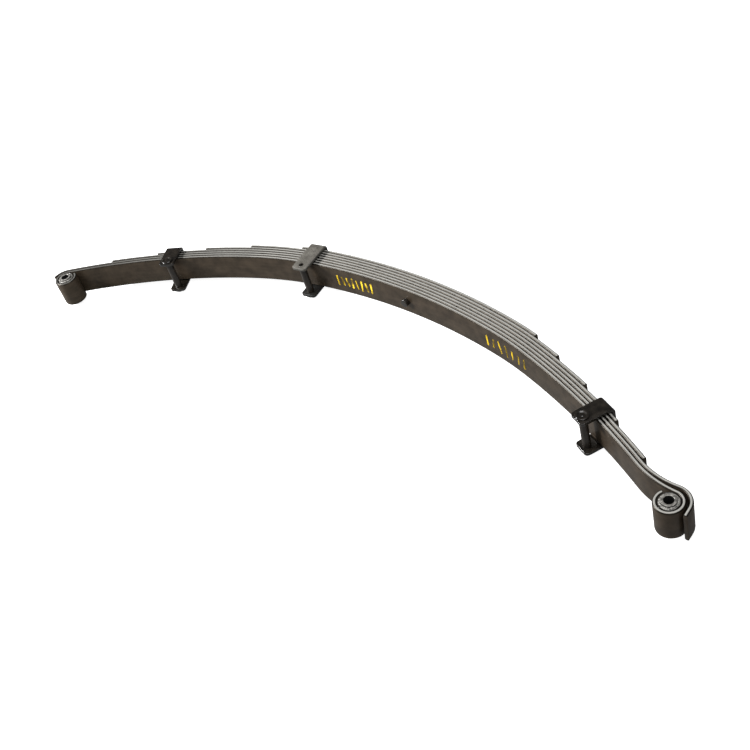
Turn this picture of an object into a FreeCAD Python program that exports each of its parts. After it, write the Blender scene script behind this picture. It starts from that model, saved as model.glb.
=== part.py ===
import FreeCAD, Part
import math
import os

# Semi-elliptic rear leaf spring: seven leaves, a bushed eye at each end and three bolted clips.
# Millimetres. The spring lies on its side. The origin is on the centre bolt's axis, where it
# meets the concave face of the main leaf at mid width. +X runs to the front eye, +Y from the
# concave side to the convex side, and +Z across the leaves.

UP = FreeCAD.Vector(0, 0, 1)
FRONT = 1
REAR = -1

# ---------------------------------------------------------------- driving dimensions
# Leaf bar
LEAVES = 7
leaf_width = 60.0
leaf_thickness = 7.0
mill_edge_radius = 3.0          # rolled corner along both edges of the bar
leaf_gap = 0.1                  # paint film between two leaves

# Arch, measured along the concave face of the main leaf from the centre bolt
middle_half_length = 234.0
middle_radius = 1325.0
shoulder_radius = 780.0
front_shoulder_length = 82.0
front_end_radius = 1620.0
front_end_length = 324.0
front_reverse_radius = 180.0    # upturn that lifts the front eye back into line
front_reverse_length = 86.0
rear_shoulder_length = 165.0
rear_end_radius = 1360.0
rear_end_length = 440.0

# Leaf ends, as stations along the arch. The third leaf's front end is where the upturn begins.
leaf_end_front = {4: 550.0, 5: 452.0, 6: 366.0, 7: 299.0}
leaf_end_rear = {3: 735.0, 4: 627.0, 5: 513.0, 6: 407.0, 7: 289.0}

# Eyes, and the ends of the second leaf around them
eye_outer_radius = 25.0
front_eye_sweep = 302.0
rear_eye_sweep = 306.0
front_wrap_gap = 3.5            # between the front eye and the second leaf around it
front_wrap_sweep = 85.0
front_wrap_tail = 14.0
rear_wrap_ease = 5.0            # bend over the rear eye, beyond the eye's own radius
rear_wrap_sweep = 60.0

# Bushes
bush_fit = 0.05                 # radial room between the eye and the bush, and in the bush
shell_wall = 1.6
shell_recess = 0.6
sleeve_outer_radius = 12.5
sleeve_bore_radius = 8.25
sleeve_proud = 3.0              # how far the inner sleeve stands out of each side
sleeve_chamfer = 0.5
rubber_collar_proud = 1.2
rubber_collar_gap = 1.2         # between the collar and the shell round it

# Centre bolt
bolt_radius = 5.0
bolt_hole_clearance = 0.2
centre_head_radius = 8.0
centre_head_height = 9.0
centre_head_chamfer = 0.8
centre_nut_flats = 17.0
centre_nut_height = 8.0
centre_bolt_tip = 5.0

# Clips
strap_width = 35.0
strap_thickness = 6.0
strap_side_clearance = 2.5
strap_back_clearance = 0.3
strap_inner_bend = 3.0
strap_end_radius = 7.0
strap_end_reach = 29.5          # arm end, beyond the concave face of the main leaf
clip_bolt_reach = 16.5          # clip bolt's axis, beyond the same face
clip_bolt_radius = 5.0
clip_bolt_clearance = 0.3
clip_head_radius = 12.0
clip_head_height = 3.0
clip_head_round = 1.0
clip_dish_radius = 8.5          # dished face of the bolt head, at its rim
clip_dish_floor_radius = 6.0
clip_dish_depth = 1.5
clip_nut_flats = 17.0
clip_nut_height = 5.0
spacer_outer_radius = 7.5
spacer_end_clearance = 0.05
hollow_pin_bore_radius = 3.0
hollow_pin_bore_depth = 14.0
rivet_radius = 4.0
rivet_head_radius = 7.0
rivet_head_height = 3.0
rivet_head_rim = 0.5            # straight edge below the rivet's domed head
rivet_clearance = 0.3
rivet_sink_radius = 6.0
rivet_sink_depth = 2.0

# name, side, last leaf gripped, how far inside that leaf's end the clip sits, and its bolt
CLIPS = (
    ("front_clip", FRONT, 4, 34.5, "bolt"),
    ("rear_inner_clip", REAR, 7, 38.0, "hollow_pin"),
    ("rear_outer_clip", REAR, 4, 41.5, "bolt"),
)

# ---------------------------------------------------------------- worked-out sizes
half_width = leaf_width / 2
pitch = leaf_thickness + leaf_gap
stack_height = LEAVES * pitch - leaf_gap
eye_bore_radius = eye_outer_radius - leaf_thickness
shell_radius = eye_bore_radius - bush_fit
arm_inner = half_width + strap_side_clearance
arm_outer = arm_inner + strap_thickness
rear_wrap_radius = eye_outer_radius + rear_wrap_ease
head_seat = centre_head_radius ** 2 / (2 * middle_radius)   # arch's fall under the head's rim
leaf_end_front[3] = middle_half_length + front_shoulder_length + front_end_length
reach_far = 2 * leaf_width      # past the piece that is being cut
overcut = 1.0                   # how far a cutter runs past the face it opens
near = 0.01                     # for picking edges by where they lie

ARCH = {
    FRONT: (
        (middle_half_length, middle_radius),
        (front_shoulder_length, shoulder_radius),
        (front_end_length, front_end_radius),
        (front_reverse_length, -front_reverse_radius),
    ),
    REAR: (
        (middle_half_length, middle_radius),
        (rear_shoulder_length, shoulder_radius),
        (rear_end_length, rear_end_radius),
    ),
}


def eye_station(side):
    """Where the main leaf meets its eye."""
    return sum(length for length, _ in ARCH[side])


def leaf_end(side, number):
    """Station of a graded leaf's end."""
    return leaf_end_front[number] if side == FRONT else leaf_end_rear[number]


# ---------------------------------------------------------------- arch
def arch_frame(side, station):
    """Point on the concave face, outward direction and convex-side normal at a station."""
    across = 0.0
    rise = 0.0
    turn = 0.0
    left = station
    for length, radius in ARCH[side]:
        step = min(left, length)
        after = turn + step / radius
        across += radius * (math.sin(after) - math.sin(turn))
        rise += radius * (math.cos(after) - math.cos(turn))
        turn = after
        left -= step
    along = FreeCAD.Vector(side * math.cos(turn), -math.sin(turn), 0)
    out = FreeCAD.Vector(side * math.sin(turn), math.cos(turn), 0)
    return FreeCAD.Vector(side * across, rise, 0), along, out


def segments(side, end):
    """Start station, length and radius of each arch segment beyond the middle, up to an end."""
    found = []
    start = 0.0
    for length, radius in ARCH[side]:
        run = min(length, end - start)
        if start > 0 and run > 0:
            found.append((start, run, radius))
        start += length
    return found


def rotated(vector, degrees):
    return FreeCAD.Rotation(UP, degrees).multVec(vector)


# ---------------------------------------------------------------- leaves
def section(point, out):
    """Cross-section of the rolled bar, centred on a point, with its thickness along `out`."""
    flat_y = leaf_thickness / 2 - mill_edge_radius
    flat_z = half_width - mill_edge_radius

    def corner(quarter, degrees):
        y = flat_y if quarter in (0, 3) else -flat_y
        z = flat_z if quarter in (0, 1) else -flat_z
        angle = math.radians(90 * quarter + degrees)
        y += mill_edge_radius * math.cos(angle)
        z += mill_edge_radius * math.sin(angle)
        return point + out * y + UP * z

    edges = []
    for quarter in range(4):
        stops = [corner(quarter, degrees) for degrees in (0, 45, 90)]
        edges.append(Part.Arc(*stops).toShape())
        edges.append(Part.LineSegment(stops[2], corner((quarter + 1) % 4, 0)).toShape())
    return Part.Face(Part.Wire(edges))


def bent(point, out, hub, degrees):
    """Stretch of bar bent round a hub."""
    return section(point, out).revolve(hub, UP, degrees)


def along_arch(front_end, rear_end, bottom):
    """Stretches of one leaf that follow the arch, with its concave face at a given height."""
    middle = bottom + leaf_thickness / 2
    rear = min(middle_half_length, rear_end)
    front = min(middle_half_length, front_end)
    point, _, out = arch_frame(REAR, rear)
    swing = math.degrees((rear + front) / middle_radius)
    pieces = [bent(point + out * middle, out, FreeCAD.Vector(0, -middle_radius, 0), -swing)]
    for side, end in ((FRONT, front_end), (REAR, rear_end)):
        for start, run, radius in segments(side, end):
            point, _, out = arch_frame(side, start)
            swing = -side * math.degrees(run / radius)
            pieces.append(bent(point + out * middle, out, point - out * radius, swing))
    return pieces


def leaf(pieces):
    """One leaf from its stretches, drilled for the centre bolt."""
    radius = bolt_radius + bolt_hole_clearance
    start = FreeCAD.Vector(0, -leaf_width, 0)
    hole = Part.makeCylinder(radius, 3 * leaf_width, start, FreeCAD.Vector(0, 1, 0))
    return pieces[0].fuse(pieces[1:]).removeSplitter().cut(hole)


def eye_frame(side):
    """Centre of an eye, with the outward direction and normal of the leaf that enters it."""
    point, along, out = arch_frame(side, eye_station(side))
    return point - out * eye_bore_radius, along, out


def main_leaf():
    """Master leaf, rolled into an eye at each end."""
    pieces = along_arch(eye_station(FRONT), eye_station(REAR), 0)
    for side, turned in ((FRONT, front_eye_sweep), (REAR, rear_eye_sweep)):
        centre, _, out = eye_frame(side)
        start = centre + out * (eye_outer_radius - leaf_thickness / 2)
        pieces.append(bent(start, out, centre, -side * turned))
    return leaf(pieces)


def front_wrap():
    """Second leaf beyond the arch: an easy upturn, a turn round the front eye and a tail."""
    point, _, out = arch_frame(FRONT, eye_station(FRONT) - front_reverse_length)
    centre, along, eye_out = eye_frame(FRONT)
    start = point + out * (pitch + leaf_thickness / 2)
    wrap = eye_outer_radius + front_wrap_gap + leaf_thickness / 2
    across = start - centre
    upturn = (across.dot(across) - wrap ** 2) / (2 * (wrap - across.dot(out)))
    hub = start + out * upturn
    link = (hub - centre).normalize()
    turned = math.degrees(link.getAngle(out))
    before = math.degrees(link.getAngle(eye_out))
    last = rotated(eye_out, -front_wrap_sweep)
    face = section(centre + last * wrap, last)
    return [
        bent(start, out, hub, turned),
        bent(centre + link * wrap, link, centre, -before - front_wrap_sweep),
        face.extrude(rotated(last, -90) * front_wrap_tail),
    ]


def rear_wrap():
    """Second leaf beyond the rear eye's station: a short turn over the eye."""
    point, _, out = arch_frame(REAR, eye_station(REAR))
    start = point + out * (pitch + leaf_thickness / 2)
    hub = point + out * (pitch - rear_wrap_radius)
    return [bent(start, out, hub, rear_wrap_sweep)]


def second_leaf():
    """Wrapper leaf: round the front eye with a gap, and part of the way over the rear eye."""
    upturn = eye_station(FRONT) - front_reverse_length
    return leaf(along_arch(upturn, eye_station(REAR), pitch) + front_wrap() + rear_wrap())


def graded_leaf(number):
    """One of the shorter leaves, cut square at both ends."""
    bottom = (number - 1) * pitch
    solid = leaf(along_arch(leaf_end(FRONT, number), leaf_end(REAR, number), bottom))
    for _, side, gripped, inside, _ in CLIPS:
        if gripped == number:
            solid = solid.cut(rivet_cutter(side, gripped, inside))
    return solid


# ---------------------------------------------------------------- fasteners
def rod(radius, start, end):
    """Cylinder between two points."""
    run = end - start
    return Part.makeCylinder(radius, run.Length, start, run)


def hexagon(flats, height, start, direction):
    """Hexagonal nut blank standing on a point."""
    corner = flats / math.sqrt(3)
    angles = [math.radians(60 * i) for i in range(7)]
    wire = Part.makePolygon([FreeCAD.Vector(corner * math.cos(a), corner * math.sin(a), 0)
                             for a in angles])
    blank = Part.Face(wire).extrude(UP * height)
    blank.Placement = FreeCAD.Placement(start, FreeCAD.Rotation(UP, direction))
    return blank


def along_y(y):
    return FreeCAD.Vector(0, y, 0)


def centre_bolt():
    """Bolt through the stack, with a round head that locates the axle seat."""
    tip = stack_height + centre_nut_height + centre_bolt_tip
    head = rod(centre_head_radius, along_y(-centre_head_height), along_y(-head_seat))
    shank = rod(bolt_radius, along_y(-head_seat), along_y(tip))
    rim = [e for e in head.Edges if e.CenterOfMass.y < -centre_head_height + near]
    head = head.makeChamfer(centre_head_chamfer, rim)
    return head.fuse(shank).removeSplitter()


def centre_bolt_nut():
    """Nut on the convex side of the stack."""
    blank = hexagon(centre_nut_flats, centre_nut_height, along_y(stack_height), along_y(1))
    bore = rod(bolt_radius, along_y(0), along_y(stack_height + reach_far))
    return blank.cut(bore)


# ---------------------------------------------------------------- bushes
def bush_shell():
    """Thin steel tube pressed into an eye, standing on its own centre."""
    low = UP * (shell_recess - half_width)
    high = UP * (half_width - shell_recess)
    return rod(shell_radius, low, high).cut(rod(shell_radius - shell_wall, low, high))


def bush_rubber():
    """Rubber ring bonded inside the shell, with a raised collar round the inner sleeve."""
    bore = sleeve_outer_radius + bush_fit
    low = UP * (shell_recess - half_width)
    high = UP * (half_width - shell_recess)
    body = rod(shell_radius - shell_wall, low, high)
    lift = UP * rubber_collar_proud
    rim = shell_radius - shell_wall - rubber_collar_gap
    collar = rod(rim, low - lift, high + lift)
    return body.fuse(collar).cut(rod(bore, low - lift, high + lift)).removeSplitter()


def bush_sleeve():
    """Thick inner tube that the spring pin clamps."""
    low = UP * -(half_width + sleeve_proud)
    high = UP * (half_width + sleeve_proud)
    tube = rod(sleeve_outer_radius, low, high).cut(rod(sleeve_bore_radius, low, high))
    rims = [e for e in tube.Edges if abs(e.CenterOfMass.z) > half_width]
    return tube.makeChamfer(sleeve_chamfer, rims)


def at_eye(shape, side):
    centre, _, _ = eye_frame(side)
    shape.translate(centre)
    return shape


# ---------------------------------------------------------------- clips
def clip_placement(side, gripped, inside):
    """Frame of a clip: X along the leaf, Y through the stack, Z across the leaf."""
    point, along, _ = arch_frame(side, leaf_end(side, gripped) - inside)
    heading = math.degrees(math.atan2(side * along.y, side * along.x))
    return FreeCAD.Placement(point, FreeCAD.Rotation(UP, heading))


def settle(shape, side, gripped, inside):
    """Moves a piece made in a clip's own frame to its place."""
    shape.Placement = clip_placement(side, gripped, inside).multiply(shape.Placement)
    return shape


def strap_back(gripped):
    """Inside face of a strap's back, above the concave face."""
    return gripped * pitch - leaf_gap + strap_back_clearance


def line(a, b):
    return Part.LineSegment(a, b).toShape()


def hook_profile(gripped, inset, bend):
    """U-shaped outline, open towards the concave side."""
    back = strap_back(gripped) + inset
    side = arm_inner + inset
    x = -strap_width / 2

    def at(y, z):
        return FreeCAD.Vector(x, y, z)

    mid = bend * (1 - math.sqrt(0.5))
    run = [
        line(at(-reach_far, -side), at(back - bend, -side)),
        Part.Arc(at(back - bend, -side), at(back - mid, -side + mid),
                 at(back, -side + bend)).toShape(),
        line(at(back, -side + bend), at(back, side - bend)),
        Part.Arc(at(back, side - bend), at(back - mid, side - mid),
                 at(back - bend, side)).toShape(),
        line(at(back - bend, side), at(-reach_far, side)),
        line(at(-reach_far, side), at(-reach_far, -side)),
    ]
    face = Part.Face(Part.Wire(run))
    return face.extrude(FreeCAD.Vector(strap_width, 0, 0))


def arm_outline(gripped):
    """Strap seen square to its arms, with rounded arm ends, as a tall block."""
    half = strap_width / 2
    far = strap_back(gripped) + strap_thickness + overcut
    box = Part.makeBox(strap_width, far + strap_end_reach, 2 * reach_far,
                       FreeCAD.Vector(-half, -strap_end_reach, -reach_far))
    corners = [e for e in box.Edges
               if abs(e.CenterOfMass.z) < near and e.CenterOfMass.y < near - strap_end_reach]
    return box.makeFillet(strap_end_radius, corners)


def clip_axis(z):
    """Point on a clip bolt's axis, in the clip's own frame."""
    return FreeCAD.Vector(0, -clip_bolt_reach, z)


def clip_strap(gripped):
    """Flat bar bent round the leaves, drilled for its bolt and its rivet."""
    outside = hook_profile(gripped, strap_thickness, strap_inner_bend + strap_thickness)
    strap = outside.cut(hook_profile(gripped, 0, strap_inner_bend)).common(arm_outline(gripped))
    hole = clip_bolt_radius + clip_bolt_clearance
    strap = strap.cut(rod(hole, clip_axis(-reach_far), clip_axis(reach_far)))
    back = strap_back(gripped)
    return strap.cut(rod(rivet_radius, along_y(back - overcut), along_y(back + reach_far)))


def clip_spacer():
    """Tube between the arms, on the clip bolt."""
    top = clip_axis(arm_inner - spacer_end_clearance)
    bottom = clip_axis(spacer_end_clearance - arm_inner)
    bore = clip_bolt_radius + clip_bolt_clearance
    return rod(spacer_outer_radius, bottom, top).cut(rod(bore, bottom, top))


def dished_head(up):
    """Low round bolt head with a dished face, on the outside of an arm."""
    base = up * arm_outer
    top = base + up * clip_head_height
    head = rod(clip_head_radius, clip_axis(base), clip_axis(top))
    rim = [e for e in head.Edges if abs(e.CenterOfMass.z) > abs(top) - near]
    head = head.makeFillet(clip_head_round, rim)
    dish = Part.makeCone(clip_dish_floor_radius, clip_dish_radius, clip_dish_depth,
                         clip_axis(top - up * clip_dish_depth), UP * up)
    return head.cut(dish)


def clip_bolt(fitting):
    """Bolt or hollow pin through a clip's arms and spacer."""
    up = -1 if fitting == "hollow_pin" else 1
    tip = arm_outer if fitting == "hollow_pin" else arm_outer + clip_nut_height
    shank = rod(clip_bolt_radius, clip_axis(up * arm_outer), clip_axis(-up * tip))
    bolt = dished_head(up).fuse(shank).removeSplitter()
    if fitting == "hollow_pin":
        floor = clip_axis(tip - hollow_pin_bore_depth)
        bolt = bolt.cut(rod(hollow_pin_bore_radius, floor, clip_axis(tip + overcut)))
    return bolt


def clip_nut():
    """Thin nut on the lower end of a clip bolt."""
    blank = hexagon(clip_nut_flats, clip_nut_height, clip_axis(-arm_outer), -UP)
    return blank.cut(rod(clip_bolt_radius, clip_axis(-reach_far), clip_axis(reach_far)))


def rivet_cutter(side, gripped, inside):
    """Countersunk hole for a strap's rivet, in the leaf that carries the strap."""
    top = gripped * pitch
    bottom = top - pitch
    hole = rod(rivet_radius + rivet_clearance, along_y(bottom - overcut), along_y(top + overcut))
    sink = Part.makeCone(rivet_sink_radius + rivet_clearance, rivet_radius + rivet_clearance,
                         rivet_sink_depth, along_y(bottom - near), along_y(1))
    return settle(hole.fuse(sink), side, gripped, inside)


def clip_rivet(gripped):
    """Rivet from the strap's back into the leaf, closed in the countersink."""
    start = (gripped - 1) * pitch + rivet_clearance
    seat = strap_back(gripped) + strap_thickness
    shank = rod(rivet_radius, along_y(start), along_y(seat))
    head = rod(rivet_head_radius, along_y(seat), along_y(seat + rivet_head_height))
    rim = [e for e in head.Edges if e.CenterOfMass.y > seat + rivet_head_height - near]
    head = head.makeFillet(rivet_head_height - rivet_head_rim, rim)
    closed = Part.makeCone(rivet_sink_radius - rivet_clearance, rivet_radius, rivet_sink_depth,
                           along_y(start), along_y(1))
    return shank.fuse([head, closed]).removeSplitter()


def clip_pieces(name, side, gripped, inside, fitting):
    """Every piece of one clip, under its node name."""
    pieces = {
        name + "_strap": clip_strap(gripped),
        name + "_spacer_tube": clip_spacer(),
        name + "_rivet": clip_rivet(gripped),
    }
    if fitting == "hollow_pin":
        pieces[name + "_pin"] = clip_bolt(fitting)
    else:
        pieces[name + "_bolt"] = clip_bolt(fitting)
        pieces[name + "_nut"] = clip_nut()
    return {key: settle(shape, side, gripped, inside) for key, shape in pieces.items()}


# ---------------------------------------------------------------- assembly
def all_nodes():
    nodes = {"main_leaf": main_leaf(), "second_leaf": second_leaf()}
    for number, word in ((3, "third"), (4, "fourth"), (5, "fifth"), (6, "sixth"), (7, "seventh")):
        nodes[word + "_leaf"] = graded_leaf(number)
    nodes["centre_bolt"] = centre_bolt()
    nodes["centre_bolt_nut"] = centre_bolt_nut()
    for end, side in (("front", FRONT), ("rear", REAR)):
        nodes[end + "_bush_shell"] = at_eye(bush_shell(), side)
        nodes[end + "_bush_rubber"] = at_eye(bush_rubber(), side)
        nodes[end + "_bush_sleeve"] = at_eye(bush_sleeve(), side)
    for clip in CLIPS:
        nodes.update(clip_pieces(*clip))
    return nodes


os.makedirs("parts", exist_ok=True)
for node, shape in all_nodes().items():
    shape.exportStep("parts/" + node + ".step")
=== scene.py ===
import math

import bmesh
import bpy
from mathutils import Matrix, Vector, noise


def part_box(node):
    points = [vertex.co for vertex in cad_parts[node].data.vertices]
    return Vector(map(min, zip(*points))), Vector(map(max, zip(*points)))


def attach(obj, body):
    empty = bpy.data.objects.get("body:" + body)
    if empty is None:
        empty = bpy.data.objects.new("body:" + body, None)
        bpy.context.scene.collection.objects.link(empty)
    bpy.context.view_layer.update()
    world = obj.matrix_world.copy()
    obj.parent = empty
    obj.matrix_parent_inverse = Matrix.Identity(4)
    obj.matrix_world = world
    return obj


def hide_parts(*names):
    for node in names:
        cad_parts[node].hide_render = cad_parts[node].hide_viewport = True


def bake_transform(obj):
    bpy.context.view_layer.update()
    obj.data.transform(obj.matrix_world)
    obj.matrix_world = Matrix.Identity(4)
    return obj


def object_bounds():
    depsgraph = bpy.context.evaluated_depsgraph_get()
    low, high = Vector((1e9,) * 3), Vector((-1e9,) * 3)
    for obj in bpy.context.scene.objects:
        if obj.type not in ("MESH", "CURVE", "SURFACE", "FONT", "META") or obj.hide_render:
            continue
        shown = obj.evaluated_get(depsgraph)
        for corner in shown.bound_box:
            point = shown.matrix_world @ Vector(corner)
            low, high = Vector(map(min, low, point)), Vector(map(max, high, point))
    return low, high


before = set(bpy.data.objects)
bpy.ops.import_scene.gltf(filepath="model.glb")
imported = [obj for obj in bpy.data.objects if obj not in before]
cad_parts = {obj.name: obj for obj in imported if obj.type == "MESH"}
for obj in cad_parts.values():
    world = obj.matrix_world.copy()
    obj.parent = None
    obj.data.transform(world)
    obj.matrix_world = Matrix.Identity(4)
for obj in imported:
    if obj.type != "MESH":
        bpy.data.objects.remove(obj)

# Semi-elliptic leaf spring: seven leaves rolled from flat bar, a bushed eye at each end, a centre
# bolt and three strap clips. Metres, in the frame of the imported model: the origin is where the
# centre bolt meets the main leaf's concave face, +X runs to the front eye, +Y to the convex side.

CAD_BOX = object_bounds()
MM = 0.001
FRONT = 1
REAR = -1
UP = Vector((0, 0, 1))

# ---------------------------------------------------------------- sizes
BAR_WIDTH = 60 * MM
BAR_THICKNESS = 7 * MM
MILL_EDGE = 3 * MM
PAINT_GAP = 0.1 * MM
PITCH = BAR_THICKNESS + PAINT_GAP
HALF_WIDTH = BAR_WIDTH / 2
CUT_EDGE = 0.5 * MM             # broken edge round a sheared leaf end
PATH_STEP = 4 * MM
SHARP_ANGLE = math.radians(40)

# Length and radius of each stretch of the arch, from the centre bolt outwards
ARCH = {
    FRONT: ((234 * MM, 1325 * MM), (82 * MM, 780 * MM), (324 * MM, 1620 * MM),
            (86 * MM, -180 * MM)),
    REAR: ((234 * MM, 1325 * MM), (165 * MM, 780 * MM), (440 * MM, 1360 * MM)),
}
UPTURN_LENGTH = ARCH[FRONT][-1][0]

EYE_RADIUS = 25 * MM
EYE_SWEEP = {FRONT: math.radians(302), REAR: math.radians(306)}
FRONT_WRAP_GAP = 3.5 * MM
FRONT_WRAP_SWEEP = math.radians(85)
FRONT_WRAP_TAIL = 14 * MM
REAR_WRAP_RADIUS = EYE_RADIUS + 5 * MM
REAR_WRAP_SWEEP = math.radians(60)

BUSH_FIT = 0.05 * MM
SHELL_RADIUS = EYE_RADIUS - BAR_THICKNESS - BUSH_FIT
SHELL_WALL = 1.6 * MM
SHELL_HALF = HALF_WIDTH - 0.6 * MM
SLEEVE_RADIUS = 12.5 * MM
SLEEVE_BORE = 8.25 * MM
SLEEVE_HALF = HALF_WIDTH + 3 * MM
COLLAR_PROUD = 1.2 * MM
COLLAR_GAP = 1.2 * MM

CENTRE_HEAD_RADIUS = 8 * MM
CENTRE_HEAD_HEIGHT = 9 * MM
BOLT_RADIUS = 5 * MM
THREAD_PITCH = 1.25 * MM
THREAD_DEPTH = 0.54 * THREAD_PITCH
THREAD_CHAMFER = 1.2 * MM
CENTRE_NUT_HEIGHT = 8 * MM
CENTRE_TIP = 5 * MM
NUT_FLATS = 17 * MM

STRAP_WIDTH = 35 * MM
STRAP_THICKNESS = 6 * MM
STRAP_EDGE = 1.0 * MM
STRAP_SIDE_CLEARANCE = 2.5 * MM
STRAP_BACK_CLEARANCE = 0.3 * MM
STRAP_BEND = 6.0 * MM           # along the middle of the strap's thickness
STRAP_END_RADIUS = 7 * MM
STRAP_REACH = 29.5 * MM
CLIP_BOLT_REACH = 16.5 * MM
CLIP_HEAD_RADIUS = 12 * MM
CLIP_HEAD_HEIGHT = 3 * MM
CLIP_HEAD_ROUND = 1 * MM
DISH_RADIUS = 8.5 * MM
DISH_FLOOR_RADIUS = 6 * MM
DISH_DEPTH = 1.5 * MM
CLIP_NUT_HEIGHT = 5 * MM
SPACER_RADIUS = 7.5 * MM
SPACER_BORE = 5.3 * MM
PIN_BORE = 3 * MM
PIN_BORE_DEPTH = 14 * MM
RIVET_RADIUS = 4 * MM
RIVET_HEAD_RADIUS = 7 * MM
RIVET_HEAD_HEIGHT = 3 * MM
RIVET_FOOT = 0.3 * MM           # its foot above the last leaf's inner face
SPACER_PLAY = 0.05 * MM
ARM_INNER = HALF_WIDTH + STRAP_SIDE_CLEARANCE
ARM_OUTER = ARM_INNER + STRAP_THICKNESS

# A row of strokes: end of the spring, first and last station, count and seed
STROKE_ROWS = (
    (REAR, 92 * MM, 178 * MM, 8, 4),
    (FRONT, 214 * MM, 316 * MM, 7, 9),
)
STROKE_LENGTH = 30 * MM
STROKE_WIDTH = 4 * MM
STROKE_FILM = 0.12 * MM
STROKE_LEAN = math.radians(8)
STROKE_LIFT = 0.02 * MM

LEAVES = ("main_leaf", "second_leaf", "third_leaf", "fourth_leaf", "fifth_leaf", "sixth_leaf",
          "seventh_leaf")
# clip, end of the spring, leaves gripped, how far inside the last leaf's end, and its bolt
CLIPS = (
    ("front_clip", FRONT, 4, 34.5 * MM, "bolt"),
    ("rear_inner_clip", REAR, 7, 38 * MM, "hollow_pin"),
    ("rear_outer_clip", REAR, 4, 41.5 * MM, "bolt"),
)
ARM_BODY = {FRONT: "front_arm", REAR: "rear_arm"}
SLEEVE_BODY = {FRONT: "front_sleeve", REAR: "rear_sleeve"}
END_WORD = {FRONT: "front", REAR: "rear"}
# Stations between which a leaf turns from the clamped middle to the free arm
FLEX_START = 10 * MM
FLEX_END = {FRONT: 400 * MM, REAR: 440 * MM}


# ---------------------------------------------------------------- arch
def arch_frame(side, station):
    """Point on the concave face, outward direction and convex-side normal at a station."""
    across = 0.0
    rise = 0.0
    turn = 0.0
    left = station
    for length, radius in ARCH[side]:
        step = min(left, length)
        after = turn + step / radius
        across += radius * (math.sin(after) - math.sin(turn))
        rise += radius * (math.cos(after) - math.cos(turn))
        turn = after
        left -= step
    along = Vector((side * math.cos(turn), -math.sin(turn), 0))
    out = Vector((side * math.sin(turn), math.cos(turn), 0))
    return Vector((side * across, rise, 0)), along, out


def eye_station(side):
    return sum(length for length, _ in ARCH[side])


def eye_frame(side):
    """Centre of an eye, with the direction and the normal of the leaf that enters it."""
    point, along, out = arch_frame(side, eye_station(side))
    return point - out * (EYE_RADIUS - BAR_THICKNESS), along, out


def leaf_end(side, number):
    """Station at which a graded leaf's end face reaches the side of its packed box."""
    low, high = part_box(LEAVES[number - 1])
    reach = high.x if side == FRONT else -low.x
    top = number * PITCH - PAINT_GAP
    near, far = 0.0, eye_station(side)
    while far - near > 0.01 * MM:
        middle = (near + far) / 2
        point, _, out = arch_frame(side, middle)
        if side * (point + out * top).x < reach:
            near = middle
        else:
            far = middle
    return near


def turned_about_z(vector, angle):
    return Matrix.Rotation(angle, 3, "Z") @ vector


def arc(centre, start, sweep, step=math.radians(3)):
    """Points round a centre, after the first one."""
    count = max(2, math.ceil(abs(sweep) / step))
    return [centre + turned_about_z(start, sweep * i / count) for i in range(1, count + 1)]


def arch_line(side, end, height):
    """Points along the arch at a height above the concave face."""
    count = math.ceil(end / PATH_STEP)
    stops = [arch_frame(side, end * i / count) for i in range(count + 1)]
    return [point + out * height for point, _, out in stops]


def main_leaf_line(side):
    """Middle line of the main leaf from the bolt, round its eye."""
    height = BAR_THICKNESS / 2
    centre, _, out = eye_frame(side)
    start = out * (EYE_RADIUS - height)
    return arch_line(side, eye_station(side), height) + arc(centre, start, -side * EYE_SWEEP[side])


def second_leaf_front_line():
    """Middle line of the wrapper leaf: an easy upturn, a turn round the front eye and a tail."""
    upturn = eye_station(FRONT) - UPTURN_LENGTH
    height = PITCH + BAR_THICKNESS / 2
    point, _, out = arch_frame(FRONT, upturn)
    centre, along, eye_out = eye_frame(FRONT)
    start = point + out * height
    wrap = EYE_RADIUS + FRONT_WRAP_GAP + BAR_THICKNESS / 2
    across = start - centre
    radius = (across.length_squared - wrap ** 2) / (2 * (wrap - across.dot(out)))
    hub = start + out * radius
    link = (hub - centre).normalized()
    last = turned_about_z(eye_out, -FRONT_WRAP_SWEEP)
    line = arch_line(FRONT, upturn, height)
    line += arc(hub, start - hub, link.angle(out))
    line += arc(centre, link * wrap, -link.angle(eye_out) - FRONT_WRAP_SWEEP)
    return line + [line[-1] + turned_about_z(last, math.radians(-90)) * FRONT_WRAP_TAIL]


def second_leaf_rear_line():
    """Middle line of the wrapper leaf's other half: a short bend over the rear eye."""
    height = PITCH + BAR_THICKNESS / 2
    point, _, out = arch_frame(REAR, eye_station(REAR))
    hub = point + out * (PITCH - REAR_WRAP_RADIUS)
    start = out * (REAR_WRAP_RADIUS + BAR_THICKNESS / 2)
    return arch_line(REAR, eye_station(REAR), height) + arc(hub, start, REAR_WRAP_SWEEP)


def leaf_line(side, number):
    """Middle line of half a leaf, from the centre bolt outwards."""
    if number == 1:
        return main_leaf_line(side)
    if number == 2:
        return second_leaf_front_line() if side == FRONT else second_leaf_rear_line()
    return arch_line(side, leaf_end(side, number), (number - 1) * PITCH + BAR_THICKNESS / 2)


# ---------------------------------------------------------------- nodes
def add_node(tree, kind, inputs=None, **settings):
    """Adds a node with its settings. An input is a plain value or another node's socket."""
    node = tree.nodes.new(kind)
    for name, value in settings.items():
        setattr(node, name, value)
    for key, value in (inputs or {}).items():
        if isinstance(value, bpy.types.NodeSocket):
            tree.links.new(value, node.inputs[key])
        else:
            node.inputs[key].default_value = value
    return node


def linear(code):
    """sRGB hex to linear RGBA."""
    values = [int(code[i:i + 2], 16) / 255 for i in (1, 3, 5)]
    values = [v / 12.92 if v <= 0.04045 else ((v + 0.055) / 1.055) ** 2.4 for v in values]
    return (*values, 1.0)


def new_material(name):
    """Empty material and the tree to build it in."""
    material = bpy.data.materials.new(name)
    material.use_nodes = True
    tree = material.node_tree
    tree.nodes.clear()
    return material, tree


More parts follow.
